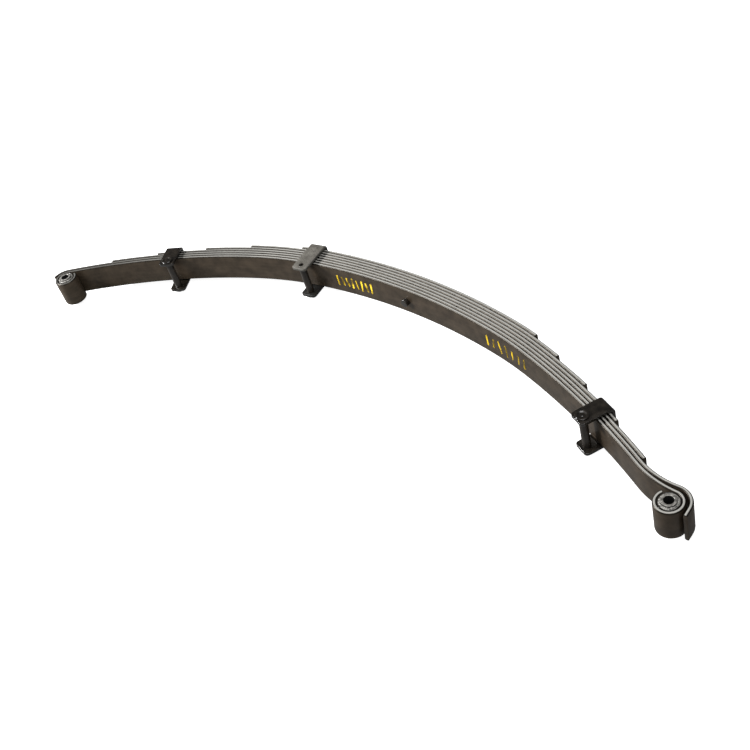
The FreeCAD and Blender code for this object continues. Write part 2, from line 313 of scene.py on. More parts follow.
def finished(material, shader, height=None, strength=0.0, depth=0.0):
    """Material with its shader joined up, and relief of a real depth if a height is given."""
    tree = material.node_tree
    if height:
        relief = add_node(tree, "ShaderNodeBump",
                          {"Height": height, "Strength": strength, "Distance": depth})
        tree.links.new(relief.outputs["Normal"], shader.inputs["Normal"])
    add_node(tree, "ShaderNodeOutputMaterial", {"Surface": shader.outputs["BSDF"]})
    return material


def coordinates(tree):
    return add_node(tree, "ShaderNodeTexCoord").outputs["Object"]


def stretched(tree, place, scale):
    """Place drawn out along the axes whose scale is below one."""
    node = add_node(tree, "ShaderNodeMapping", {"Vector": place, "Scale": scale})
    return node.outputs["Vector"]


def height_of(tree, place):
    """Place across the leaves, along Z."""
    return add_node(tree, "ShaderNodeSeparateXYZ", {"Vector": place}).outputs["Z"]


def pattern(tree, vector, size, detail=3.0):
    """Cloudy noise whose patches are about `size` metres across."""
    node = add_node(tree, "ShaderNodeTexNoise",
                    {"Vector": vector, "Scale": 1 / size, "Detail": detail, "Roughness": 0.55})
    return node.outputs["Fac"]


def blend_colours(tree, factor, first, second):
    """Mix of two colours, each a hex code or a socket."""
    first, second = (linear(c) if isinstance(c, str) else c for c in (first, second))
    node = add_node(tree, "ShaderNodeMix", {0: factor, 6: first, 7: second}, data_type="RGBA")
    return node.outputs[2]


def arithmetic(tree, operation, first, second=0.0):
    return add_node(tree, "ShaderNodeMath", {0: first, 1: second}, operation=operation).outputs[0]


def ranged(tree, value, low, high, new_low=0.0, new_high=1.0):
    """Value stretched from one range to another, and held inside it."""
    node = add_node(tree, "ShaderNodeMapRange",
                    {"Value": value, "From Min": low, "From Max": high,
                     "To Min": new_low, "To Max": new_high})
    return node.outputs["Result"]


# ---------------------------------------------------------------- materials
def leaf_steel():
    """Hot-rolled spring steel, shot-peened and sprayed with thin chassis black: a dull, warm and
    slightly cloudy face, and edges where the paint is thin and the rolled steel shows pale. That
    pale edge band is also a painted highlight for the bright line each edge catches, and it dims
    towards the rear end as painted shade; the rolled corners beside it are darkened as painted
    shade for the valleys between leaves."""
    material, tree = new_material("thin_chassis_black_on_spring_steel")
    place = coordinates(tree)
    clouds = pattern(tree, place, 22 * MM, detail=4.0)
    streaks = pattern(tree, stretched(tree, place, (0.06, 0.06, 1.0)), 5 * MM)
    peening = pattern(tree, place, 1.6 * MM, detail=2.0)
    face = blend_colours(tree, ranged(tree, clouds, 0.3, 0.7), "#2a231b", "#463c31")
    face = blend_colours(tree, ranged(tree, streaks, 0.45, 0.8, 0.0, 0.45), face, "#4f4439")
    place_parts = add_node(tree, "ShaderNodeSeparateXYZ", {"Vector": place}).outputs
    off_middle = arithmetic(tree, "ABSOLUTE", place_parts["Z"])
    wander = ranged(tree, clouds, 0.3, 0.7, -0.05 * MM, 0.05 * MM)
    ragged = arithmetic(tree, "ADD", wander, off_middle)
    # Pale edge band: bare rolled steel where the paint is thin, and a painted highlight standing in
    # for the bright line along each rounded edge.
    edge = ranged(tree, ragged, HALF_WIDTH - 0.3 * MM, HALF_WIDTH - 0.1 * MM)
    worn = ranged(tree, peening, 0.3, 0.65, 0.85, 1.0)
    # Painted shade: the rolled corners next to each edge are darkened, standing in for the shade in
    # the valleys between the leaves.
    painted_valley_shade = ranged(tree, off_middle, HALF_WIDTH - MILL_EDGE, HALF_WIDTH - 0.5 * MILL_EDGE)
    face = blend_colours(tree, painted_valley_shade, face, "#0d0b09")
    # Painted shade: the pale edge band dims towards the rear end, where less light falls.
    painted_shade_to_rear = ranged(tree, place_parts["X"], -700 * MM, -330 * MM, 0.25, 1.0)
    bare_edge_and_highlight = arithmetic(tree, "MULTIPLY", arithmetic(tree, "MULTIPLY", edge, worn), painted_shade_to_rear)
    shader = add_node(tree, "ShaderNodeBsdfPrincipled", {
        "Base Color": blend_colours(tree, bare_edge_and_highlight, face, "#b0afaa"),
        "Metallic": ranged(tree, bare_edge_and_highlight, 0.0, 1.0, 0.0, 0.15),
        "Roughness": ranged(tree, bare_edge_and_highlight, 0.0, 1.0, 0.38, 0.6),
        "IOR": 1.45,
        "Specular Tint": linear("#f3e6d4"),
    })
    bumps = arithmetic(tree, "ADD", peening, clouds)
    return finished(material, shader, bumps, ranged(tree, bare_edge_and_highlight, 0.0, 0.5, 0.35, 0.08), 0.25 * MM)


def gloss_black():
    """Gloss chassis black over bent bar: near-black with faint orange peel, so that it stays
    dark on the flat and takes thin bright lines along its edges, and a few dust nibs."""
    material, tree = new_material("gloss_chassis_black_on_bar")
    place = coordinates(tree)
    peel = pattern(tree, place, 3.2 * MM, detail=1.0)
    nibs = pattern(tree, place, 0.9 * MM, detail=2.0)
    patches = pattern(tree, place, 14 * MM)
    colour = blend_colours(tree, ranged(tree, patches, 0.35, 0.7), "#12100d", "#241f19")
    colour = blend_colours(tree, ranged(tree, nibs, 0.66, 0.76), colour, "#3a3733")
    shader = add_node(tree, "ShaderNodeBsdfPrincipled", {
        "Base Color": colour,
        "Roughness": ranged(tree, patches, 0.3, 0.7, 0.16, 0.34),
        "IOR": 1.5,
        "Coat Weight": 0.3,
        "Coat Roughness": 0.12,
    })
    bumps = arithmetic(tree, "ADD", peel, nibs)
    return finished(material, shader, bumps, 0.12, 0.1 * MM)


def satin_black_tube():
    """Cut steel tube under one coat of chassis black: greyer than the strap, with fine lines left
    by drawing the tube."""
    material, tree = new_material("satin_chassis_black_on_tube")
    place = coordinates(tree)
    lines = pattern(tree, stretched(tree, place, (1.0, 1.0, 0.05)), 1.2 * MM)
    patches = pattern(tree, place, 10 * MM)
    shader = add_node(tree, "ShaderNodeBsdfPrincipled", {
        "Base Color": blend_colours(tree, ranged(tree, patches, 0.3, 0.7), "#1c1814", "#312a23"),
        "Roughness": ranged(tree, lines, 0.3, 0.7, 0.3, 0.46),
        "IOR": 1.5,
    })
    return finished(material, shader, lines, 0.3, 0.15 * MM)


def worn_grey_strap():
    """Black bent bar whose upper arm has rubbed back to grey from handling: dull and pale there,
    with dark flecks where the black has stayed in the scale pits. The grey is kept to the top by
    height, so the strap below the upper arm stays near-black as painted shade."""
    material, tree = new_material("rubbed_paint_on_clip_bar")
    place = coordinates(tree)
    pits = pattern(tree, place, 1.8 * MM, detail=4.0)
    patches = pattern(tree, place, 12 * MM)
    grey = blend_colours(tree, ranged(tree, patches, 0.3, 0.7), "#57544e", "#75726b")
    worn = blend_colours(tree, ranged(tree, pits, 0.54, 0.66), grey, "#2b2824")
    # Painted shade: only the upper arm turns grey; the strap below it stays near-black, standing in
    # for the shade under the leaves.
    rubbed_top_painted_shade_below = ranged(tree, height_of(tree, place), HALF_WIDTH, ARM_OUTER - 1.5 * MM)
    shader = add_node(tree, "ShaderNodeBsdfPrincipled", {
        "Base Color": blend_colours(tree, rubbed_top_painted_shade_below, "#12110f", worn),
        "Roughness": ranged(tree, patches, 0.3, 0.7, 0.42, 0.56),
    })
    return finished(material, shader, pits, 0.35, 0.2 * MM)


def oversprayed_rubber():
    """Moulded natural rubber under the same black spray: dark grey, uneven and a little shiny, with
    pale grey blotches painted in as reflections off the glossy spray.
    """
    material, tree = new_material("oversprayed_natural_rubber")
    place = coordinates(tree)
    grain_and_sheen = pattern(tree, place, 2.5 * MM)
    # Painted reflection: the pale grey blotches in the colour stand in for glints off the glossy
    # black spray.
    shader = add_node(tree, "ShaderNodeBsdfPrincipled", {
        "Base Color": blend_colours(tree, ranged(tree, grain_and_sheen, 0.4, 0.62), "#4a4844", "#bdbbb5"),
        "Roughness": ranged(tree, grain_and_sheen, 0.3, 0.7, 0.3, 0.5),
        "IOR": 1.52,
    })
    return finished(material, shader, grain_and_sheen, 0.6, 0.5 * MM)


def turned_sleeve_steel():
    """Turned tube: bright grey end faces under a wipe of paint, and a bore coloured near-black as
    painted shade inside the hole.
    """
    material, tree = new_material("turned_steel_under_thin_black")
    place = coordinates(tree)
    smear = pattern(tree, place, 5 * MM)
    bright = blend_colours(tree, ranged(tree, smear, 0.35, 0.65), "#6b6965", "#b9b6b0")
    off_middle = arithmetic(tree, "ABSOLUTE", height_of(tree, place))
    # Painted shade: inside the bore the sleeve is coloured near-black, for the shade deep in the
    # hole.
    end_face = ranged(tree, off_middle, SLEEVE_HALF - 1.6 * MM, SLEEVE_HALF - 0.6 * MM)
    shader = add_node(tree, "ShaderNodeBsdfPrincipled", {
        "Base Color": blend_colours(tree, end_face, "#040404", bright),
        "Metallic": ranged(tree, end_face, 0.0, 1.0, 0.0, 0.55),
        "Roughness": ranged(tree, end_face, 0.0, 1.0, 0.9, 0.32),
    })
    return finished(material, shader, pattern(tree, place, 1.2 * MM), 0.3, 0.2 * MM)


def marking_yellow():
    """Chrome-yellow marking paint put on by hand: opaque and bright, thinner where it ran dry."""
    material, tree = new_material("yellow_marking_paint")
    place = coordinates(tree)
    dry = pattern(tree, place, 4 * MM)
    shader = add_node(tree, "ShaderNodeBsdfPrincipled", {
        "Base Color": blend_colours(tree, ranged(tree, dry, 0.6, 0.85), "#ffd60a", "#d8a80c"),
        "Roughness": 0.5,
        "IOR": 1.48,
    })
    return finished(material, shader)


def studio_floor():
    """White acrylic table lit from below: matt, even and hardly mottled, with a faint shadow. It
    sends less light to the spring than to the camera, so the black paint stays deep."""
    material, tree = new_material("backlit_white_acrylic")
    fibres = pattern(tree, coordinates(tree), 30 * MM)
    white = blend_colours(tree, fibres, "#f4f4f3", "#f8f8f7")
    seen = add_node(tree, "ShaderNodeLightPath").outputs["Is Camera Ray"]
    shader = add_node(tree, "ShaderNodeBsdfPrincipled", {
        "Base Color": blend_colours(tree, seen, "#8c8c8b", white),
        "Roughness": 0.9,
        "Specular IOR Level": 0.2,
        "Emission Color": linear("#ffffff"),
        "Emission Strength": ranged(tree, seen, 0.0, 1.0, 0.05, 0.9),
    })
    return finished(material, shader)


# ---------------------------------------------------------------- mesh making
def new_piece(name, mesh, material):
    """Object at the origin with one material, smooth but for its sharp edges."""
    piece = bpy.data.objects.new(name, mesh)
    bpy.context.scene.collection.objects.link(piece)
    mesh.materials.clear()
    mesh.materials.append(material)
    mesh.polygons.foreach_set("use_smooth", [True] * len(mesh.polygons))
    mesh.set_sharp_from_angle(angle=SHARP_ANGLE)
    return piece


def loft(name, rings, material, place=Matrix.Identity(4), tube=False):
    """Closed skin over rings of points. A tube's last ring joins its first, and other skins are
    capped. The faces are turned outwards at the end."""
    count = len(rings[0])
    shell = bmesh.new()
    rows = [[shell.verts.new(place @ Vector(p)) for p in points] for points in rings]
    pairs = list(zip(rows, rows[1:] + rows[:1])) if tube else list(zip(rows, rows[1:]))
    for row, after in pairs:
        for i in range(count):
            j = (i + 1) % count
            shell.faces.new((row[i], row[j], after[j], after[i]))
    if not tube:
        shell.faces.new(rows[0][::-1])
        shell.faces.new(rows[-1])
    bmesh.ops.remove_doubles(shell, verts=shell.verts, dist=0.001 * MM)
    bmesh.ops.recalc_face_normals(shell, faces=shell.faces)
    mesh = bpy.data.meshes.new(name)
    shell.to_mesh(mesh)
    shell.free()
    return new_piece(name, mesh, material)


def eased(profile, radius, closed=False, steps=3):
    """Profile with each corner replaced by a small round."""
    points = [Vector(p) for p in profile]
    last = len(points) - 1
    result = []
    for i, corner in enumerate(points):
        if not closed and i in (0, last):
            result.append(corner)
            continue
        before = points[i - 1] - corner
        after = points[(i + 1) % len(points)] - corner
        reach = min(radius, before.length / 2.2, after.length / 2.2)
        a = corner + before.normalized() * reach
        b = corner + after.normalized() * reach
        for k in range(steps + 1):
            t = k / steps
            result.append(a * (1 - t) ** 2 + corner * 2 * t * (1 - t) + b * t ** 2)
    return result


def ring(radius, height, steps, swell=None):
    """Circle of points about Z. `swell` adds to the radius by angle and height."""
    points = []
    for i in range(steps):
        angle = 2 * math.pi * i / steps
        size = radius + (swell(angle, height) if swell else 0.0)
        points.append((size * math.cos(angle), size * math.sin(angle), height))
    return points


def turned_part(name, profile, material, place, tube=False, round_off=0.4 * MM, steps=72):
    """Part turned on a lathe, from its (radius, height) profile."""
    rounded = eased(profile, round_off, closed=tube)
    return loft(name, [ring(r, h, steps) for r, h in rounded], material, place, tube)


def hex_nut(name, flats, height, bore, material, place):
    """Hexagonal nut with chamfered corners on both faces, standing on Z = 0."""
    steps = 96
    face_radius = flats / 2 * 0.96
    slope = math.tan(math.radians(60))
    sink = 0.7 * MM

    def outline(level):
        from_face = min(level, height - level)
        points = []
        for i in range(steps):
            angle = 2 * math.pi * i / steps
            to_flat = (angle % math.radians(60)) - math.radians(30)
            radius = min(flats / 2 / math.cos(to_flat), face_radius + from_face * slope)
            points.append((radius * math.cos(angle), radius * math.sin(angle), level))
        return points

    chamfer = [0.2 * MM * i for i in range(6)]
    levels = chamfer + [height / 2] + [height - c for c in reversed(chamfer)]
    rings = [outline(level) for level in levels]
    rings += [ring(bore + sink, height, steps), ring(bore, height - sink, steps),
              ring(bore, sink, steps), ring(bore + sink, 0.0, steps)]
    return loft(name, rings, material, place, tube=True)


def threaded_stud(name, radius, start, end, material, place):
    """Stretch of screw thread between two heights, running out into a chamfer at its end."""
    steps = 48
    rows = math.ceil((end - start) / (THREAD_PITCH / 8))

    def cut(angle, height):
        phase = (height / THREAD_PITCH - angle / (2 * math.pi)) % 1.0
        valley = THREAD_DEPTH * (1 - abs(2 * phase - 1))
        fade = min(1.0, (height - start) / THREAD_PITCH)
        chamfer = max(0.0, THREAD_CHAMFER - (end - height))
        return -max(valley * fade, chamfer)

    heights = [start + (end - start) * i / rows for i in range(rows + 1)]
    return loft(name, [ring(radius, h, steps, cut) for h in heights], material, place)


def joined(name, parts):
    """Several meshes as one piece."""
    shell = bmesh.new()
    material = parts[0].data.materials[0]
    for part in parts:
        shell.from_mesh(part.data)
        bpy.data.objects.remove(part)
    mesh = bpy.data.meshes.new(name)
    shell.to_mesh(mesh)
    shell.free()
    return new_piece(name, mesh, material)


def drilled(piece, radius, centre, length):
    """Cuts a round hole through a piece, parallel to Z."""
    place = Matrix.Translation(centre) @ Matrix.Translation((0, 0, -length / 2))
    rings = [ring(radius, h, 48) for h in (0.0, length)]
    cutter = loft("cutter", rings, piece.data.materials[0], place)
    cut = piece.modifiers.new("hole", "BOOLEAN")
    cut.object = cutter
    cut.solver = "EXACT"
    mesh = baked_mesh(piece)
    name = piece.name
    material = piece.data.materials[0]
    bpy.data.objects.remove(cutter)
    bpy.data.objects.remove(piece)
    return new_piece(name, mesh, material)


# ---------------------------------------------------------------- geometry trees
def geometry_tree(name, inputs):
    """Tree with a mesh in and out and named inputs, and its two end nodes."""
    tree = bpy.data.node_groups.new(name, "GeometryNodeTree")
    tree.interface.new_socket("Mesh", in_out="INPUT", socket_type="NodeSocketGeometry")
    for label, kind in inputs.items():
        tree.interface.new_socket(label, in_out="INPUT", socket_type=kind)
    tree.interface.new_socket("Mesh", in_out="OUTPUT", socket_type="NodeSocketGeometry")
    return tree, add_node(tree, "NodeGroupInput").outputs, add_node(tree, "NodeGroupOutput")


def finish_tree(tree, geometry, material, output):
    """Ends a tree in real geometry with its material."""
    real = add_node(tree, "GeometryNodeRealizeInstances", {"Geometry": geometry})
    painted = add_node(tree, "GeometryNodeSetMaterial",
                       {"Geometry": real.outputs["Geometry"], "Material": material})
    tree.links.new(painted.outputs["Geometry"], output.inputs["Mesh"])


def rolled_bar_tree():
    """Flat bar with rolled corners swept along a path."""
    tree, given, output = geometry_tree("rolled_bar", {
        "Width": "NodeSocketFloat",
        "Thickness": "NodeSocketFloat",
        "Corner radius": "NodeSocketFloat",
        "Corner steps": "NodeSocketInt",
        "Material": "NodeSocketMaterial",
    })
    path = add_node(tree, "GeometryNodeMeshToCurve", {"Mesh": given["Mesh"]})
    upright = add_node(tree, "GeometryNodeSetCurveNormal", {"Curve": path.outputs["Curve"]},
                       mode="Z_UP")
    section = add_node(tree, "GeometryNodeCurvePrimitiveQuadrilateral",
                       {"Width": given["Thickness"], "Height": given["Width"]})
    corners = add_node(tree, "GeometryNodeFilletCurve", {
        "Curve": section.outputs["Curve"],
        "Count": given["Corner steps"],
        "Radius": given["Corner radius"],
    }, mode="POLY")
    bar = add_node(tree, "GeometryNodeCurveToMesh", {
        "Curve": upright.outputs["Curve"],
        "Profile Curve": corners.outputs["Curve"],
        "Fill Caps": True,
    })
    finish_tree(tree, bar.outputs["Mesh"], given["Material"], output)
    return tree


def paint_strokes_tree():
    """Row of brush strokes along a path, each one turned and sized a little differently."""
    tree, given, output = geometry_tree("paint_strokes", {
        "Count": "NodeSocketInt",
        "Length": "NodeSocketFloat",
        "Width": "NodeSocketFloat",
        "Film": "NodeSocketFloat",
        "Lean": "NodeSocketFloat",
        "Seed": "NodeSocketInt",
        "Material": "NodeSocketMaterial",
    })
    path = add_node(tree, "GeometryNodeMeshToCurve", {"Mesh": given["Mesh"]})
    places = add_node(tree, "GeometryNodeResampleCurve",
                      {"Curve": path.outputs["Curve"], "Count": given["Count"]})
    points = add_node(tree, "GeometryNodeCurveToPoints", {"Curve": places.outputs["Curve"]},
                      mode="EVALUATED")
    outline = add_node(tree, "GeometryNodeCurvePrimitiveQuadrilateral",
                       {"Width": given["Width"], "Height": given["Length"]})
    half = arithmetic(tree, "MULTIPLY", given["Width"], 0.49)
    rounded = add_node(tree, "GeometryNodeFilletCurve", {
        "Curve": outline.outputs["Curve"], "Count": 5, "Radius": half}, mode="POLY")
    sheet = add_node(tree, "GeometryNodeFillCurve", {"Curve": rounded.outputs["Curve"]})
    stroke = add_node(tree, "GeometryNodeExtrudeMesh",
                      {"Mesh": sheet.outputs["Mesh"], "Offset Scale": given["Film"]})
    flipped = add_node(tree, "GeometryNodeFlipFaces", {"Mesh": sheet.outputs["Mesh"]})
    slab = add_node(tree, "GeometryNodeJoinGeometry")
    tree.links.new(stroke.outputs["Mesh"], slab.inputs[0])
    tree.links.new(flipped.outputs["Mesh"], slab.inputs[0])
    welded = add_node(tree, "GeometryNodeMergeByDistance",
                      {"Geometry": slab.outputs["Geometry"], "Distance": 0.01 * MM})
    negative = arithmetic(tree, "MULTIPLY", given["Lean"], -1.0)
    lean = add_node(tree, "FunctionNodeRandomValue",
                    {2: negative, 3: given["Lean"], "Seed": given["Seed"]},
                    data_type="FLOAT")
    size = add_node(tree, "FunctionNodeRandomValue", {2: 0.72, 3: 1.0, "Seed": given["Seed"]},
                    data_type="FLOAT")
    turn = add_node(tree, "ShaderNodeCombineXYZ", {"Z": lean.outputs[1]})
    scale = add_node(tree, "ShaderNodeCombineXYZ", {"X": 1.0, "Y": size.outputs[1], "Z": 1.0})
    placed = add_node(tree, "GeometryNodeInstanceOnPoints", {
        "Points": points.outputs["Points"],
        "Instance": welded.outputs["Geometry"],
        "Rotation": turn.outputs["Vector"],
        "Scale": scale.outputs["Vector"],
    })
    finish_tree(tree, placed.outputs["Instances"], given["Material"], output)
    return tree


def baked_mesh(piece):
    """Plain mesh of a piece as its modifiers leave it."""
    graph = bpy.context.evaluated_depsgraph_get()
    return bpy.data.meshes.new_from_object(piece.evaluated_get(graph))


def grown(name, line, tree, values, material):
    """Piece that a geometry tree makes along a line of points."""
    path = bpy.data.meshes.new(name + "_path")
    path.from_pydata([tuple(p) for p in line], [(i, i + 1) for i in range(len(line) - 1)], [])
    carrier = bpy.data.objects.new(name + "_path", path)
    bpy.context.scene.collection.objects.link(carrier)
    modifier = carrier.modifiers.new("grow", "NODES")
    modifier.node_group = tree
    sockets = {item.name: item.identifier for item in tree.interface.items_tree
               if item.in_out == "INPUT"}
    for label, value in values.items():
        modifier[sockets[label]] = value
    modifier[sockets["Material"]] = material
    mesh = baked_mesh(carrier)
    mesh.name = name
    bpy.data.objects.remove(carrier)
    return new_piece(name, mesh, material)


def turn_outwards(piece):
    """Makes every face of a closed piece point outwards."""
    shell = bmesh.new()
    shell.from_mesh(piece.data)
    bmesh.ops.recalc_face_normals(shell, faces=shell.faces)
    shell.to_mesh(piece.data)
    shell.free()


def break_end(piece, end):
    """Rounds the edges of the end face nearest a point, as after shearing and tumbling."""
    shell = bmesh.new()
    shell.from_mesh(piece.data)
    caps = [face for face in shell.faces if len(face.verts) > 4]
    cap = min(caps, key=lambda face: (face.calc_center_median() - end).length)
    bmesh.ops.bevel(shell, geom=list(cap.edges), offset=CUT_EDGE, segments=2, profile=0.5,
                    affect="EDGES", clamp_overlap=True)
    shell.to_mesh(piece.data)
    shell.free()
    piece.data.set_sharp_from_angle(angle=SHARP_ANGLE)


# ---------------------------------------------------------------- leaves
def flex(piece, side):
    """Works out where the clamped middle meets one free arm, and bakes the piece's placement into
    its mesh; the piece is not bent.
    """
    start, _, _ = arch_frame(side, FLEX_START)
    end, _, _ = arch_frame(side, FLEX_END[side])
    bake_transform(piece)


def make_leaves(bar_tree, material):
    """Two halves of each leaf, which meet at the centre bolt."""
    for number, leaf in enumerate(LEAVES, start=1):
        for side in (FRONT, REAR):
            line = leaf_line(side, number)
            sizes = {"Width": BAR_WIDTH, "Thickness": BAR_THICKNESS, "Corner radius": MILL_EDGE,
                     "Corner steps": 5}
            half = grown(f"{leaf}_{END_WORD[side]}_half", line, bar_tree, sizes, material)
            turn_outwards(half)
            break_end(half, line[-1])
            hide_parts(leaf)
            flex(half, side)


def make_paint_marks(stroke_tree, material):
    """Two rows of plain strokes in marking paint on the main leaf's concave face."""
    for side, first, last, count, seed in STROKE_ROWS:
        stations = [first + (last - first) * i / (count - 1) for i in range(count)]
        flat = [Vector((station, 0, 0)) for station in stations]
        values = {"Count": count, "Length": STROKE_LENGTH, "Width": STROKE_WIDTH,
                  "Film": STROKE_FILM, "Lean": STROKE_LEAN, "Seed": seed}
        mark = grown(f"{END_WORD[side]}_paint_mark", flat, stroke_tree, values, material)
        lay_on_face(mark, side)
        turn_outwards(mark)
        flex(mark, side)


def lay_on_face(piece, side):
    """Carries a flat pattern, X along the leaf and Y across it, onto the concave face."""
    for vertex in piece.data.vertices:
        point, _, out = arch_frame(side, vertex.co.x)
        lift = vertex.co.z + STROKE_LIFT
        vertex.co = point - out * lift + UP * vertex.co.y


# ---------------------------------------------------------------- bushes and centre bolt
def lumpy(piece, size, amount):
    """Gives a moulded surface small swellings."""
    for vertex in piece.data.vertices:
        vertex.co += vertex.normal * amount * noise.noise(vertex.co / size)


def make_bush(side, shell_material, rubber_material, sleeve_material):
    """Outer shell, rubber and inner sleeve of one eye."""
    word = END_WORD[side]
    centre, _, _ = eye_frame(side)
    place = Matrix.Translation(centre)
    inner = SHELL_RADIUS - SHELL_WALL
    bore = SLEEVE_RADIUS + BUSH_FIT
    collar = inner - COLLAR_GAP
    shell = turned_part(f"{word}_bush_shell_tube", [
        (SHELL_RADIUS, -SHELL_HALF), (SHELL_RADIUS, SHELL_HALF),
        (inner, SHELL_HALF), (inner, -SHELL_HALF)], shell_material, place, tube=True)
    lip = SHELL_HALF - 0.3 * MM
    top = SHELL_HALF + COLLAR_PROUD
    rubber = turned_part(f"{word}_bush_rubber_ring", [
        (inner, -lip), (inner, lip), (collar, lip), (collar, top), (bore, top),
        (bore, -top), (collar, -top), (collar, -lip)], rubber_material, place, tube=True,
        round_off=0.9 * MM)
    lumpy(rubber, 3.5 * MM, 0.25 * MM)
    sleeve = turned_part(f"{word}_bush_sleeve_tube", [
        (SLEEVE_RADIUS, -SLEEVE_HALF), (SLEEVE_RADIUS, SLEEVE_HALF),
        (SLEEVE_BORE, SLEEVE_HALF), (SLEEVE_BORE, -SLEEVE_HALF)], sleeve_material, place,
        tube=True, round_off=0.8 * MM)
    for piece, node, body, slot in (
            (shell, "bush_shell", ARM_BODY[side], "bush_steel"),
            (rubber, "bush_rubber", ARM_BODY[side], "rubber"),
            (sleeve, "bush_sleeve", SLEEVE_BODY[side], "bush_steel")):
        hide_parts(f"{word}_{node}")
        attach(piece, body)


def make_centre_bolt(material):
    """Round-headed bolt through the stack, and its nut on the convex side."""
    stack = len(LEAVES) * PITCH - PAINT_GAP
    place = Matrix.Rotation(math.radians(-90), 4, "X")
    head = turned_part("bolt_head", [
        (0.0, -CENTRE_HEAD_HEIGHT), (CENTRE_HEAD_RADIUS - 0.8 * MM, -CENTRE_HEAD_HEIGHT),
        (CENTRE_HEAD_RADIUS, -CENTRE_HEAD_HEIGHT + 0.8 * MM), (CENTRE_HEAD_RADIUS, 0.0),
        (BOLT_RADIUS, 0.0), (BOLT_RADIUS, stack + 1 * MM), (0.0, stack + 1 * MM)],
        material, place)
    thread = threaded_stud("bolt_thread", BOLT_RADIUS, stack + 0.5 * MM,
                           stack + CENTRE_NUT_HEIGHT + CENTRE_TIP, material, place)
    bolt = joined("centre_bolt_with_thread", [head, thread])
    nut = hex_nut("centre_bolt_hex_nut", NUT_FLATS, CENTRE_NUT_HEIGHT, BOLT_RADIUS, material,
                  place @ Matrix.Translation((0, 0, stack)))
    for piece, node in ((bolt, "centre_bolt"), (nut, "centre_bolt_nut")):
        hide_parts(node)
        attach(piece, "leaf_pack")


# ---------------------------------------------------------------- clips
def clip_place(side, gripped, inside):
    """Frame of a clip: X along the leaf, Y through the stack, Z across the leaf."""
    point, along, _ = arch_frame(side, leaf_end(side, gripped) - inside)
    heading = math.atan2(side * along.y, side * along.x)
    return Matrix.Translation(point) @ Matrix.Rotation(heading, 4, "Z")


def strap_line(gripped):
    """Middle line of a strap as (y, z), with its outward normal and distance from the start."""
    back = gripped * PITCH - PAINT_GAP + STRAP_BACK_CLEARANCE + STRAP_THICKNESS / 2
    side = ARM_INNER + STRAP_THICKNESS / 2
    arm = STRAP_REACH + back - STRAP_BEND
    quarter = STRAP_BEND * math.pi / 2
    across = 2 * (side - STRAP_BEND)
    total = 2 * arm + 2 * quarter + across

    def at(distance):
        flip = -1
        if distance > total / 2:
            distance = total - distance
            flip = 1
        if distance <= arm:
            return (distance - STRAP_REACH, flip * side), (0.0, flip)
        if distance <= arm + quarter:
            angle = (distance - arm) / STRAP_BEND
            normal = (math.sin(angle), flip * math.cos(angle))
            y = back - STRAP_BEND + STRAP_BEND * normal[0]
            z = flip * (side - STRAP_BEND) + STRAP_BEND * normal[1]
            return (y, z), normal
        return (back, flip * (side - STRAP_BEND - (distance - arm - quarter))), (1.0, 0.0)

    return at, arm, quarter, total


def rounded_section(width, thickness, radius, steps=4):
    """Outline of flat bar as (across, through) points."""
    radius = min(radius, width / 2.01, thickness / 2.01)
    points = []
    for quarter, (sx, sy) in enumerate(((1, 1), (-1, 1), (-1, -1), (1, -1))):
        for i in range(steps + 1):
            angle = math.pi / 2 * (quarter + i / steps)
            points.append((sx * (width / 2 - radius) + radius * math.cos(angle),
                           sy * (thickness / 2 - radius) + radius * math.sin(angle)))
    return points


def corner_loss(distance, radius):
    """How far a round corner pulls in at a distance from the end."""
    if distance >= radius:
        return 0.0
    return radius - math.sqrt(radius ** 2 - (radius - distance) ** 2)


def make_strap(name, gripped, material, place):
    """Flat bar bent into a U round the leaves, with rounded arm ends and broken edges."""
    at, arm, quarter, total = strap_line(gripped)
    rounding = (0.0, 0.1, 0.3, 0.6, 1.0, 1.6, 2.4, 3.4, 4.6, 6.0, 7.6, 9.2, 11.0, 13.0)
    stops = [d * MM for d in rounding] + [arm * 0.6, arm - 3 * MM]
    stops += [arm + quarter * i / 8 for i in range(9)]
    stops.append(total / 2)
    stops += [total - d for d in reversed(stops[:-1])]
    rings = []
    for distance in stops:
        from_end = min(distance, total - distance)
        width = STRAP_WIDTH - 2 * corner_loss(from_end, STRAP_END_RADIUS)
        width -= 2 * corner_loss(from_end, STRAP_EDGE)
        thickness = STRAP_THICKNESS - 2 * corner_loss(from_end, STRAP_EDGE)
        (y, z), (ny, nz) = at(distance)
        rings.append([(x, y + n * ny, z + n * nz)
                      for x, n in rounded_section(width, thickness, STRAP_EDGE)])
    return loft(name, rings, material, place)


def dished_head():
    """Outline of a clip bolt's low round head, from its underside to its dished middle."""
    base = ARM_OUTER
    top = base + CLIP_HEAD_HEIGHT
    floor = top - DISH_DEPTH
    return [(BOLT_RADIUS, base), (CLIP_HEAD_RADIUS, base),
            (CLIP_HEAD_RADIUS, top - CLIP_HEAD_ROUND), (CLIP_HEAD_RADIUS - CLIP_HEAD_ROUND, top),
            (DISH_RADIUS, top), (DISH_FLOOR_RADIUS, floor), (3.2 * MM, floor),
            (2.4 * MM, floor + 0.5 * MM), (0.0, floor + 0.5 * MM)]


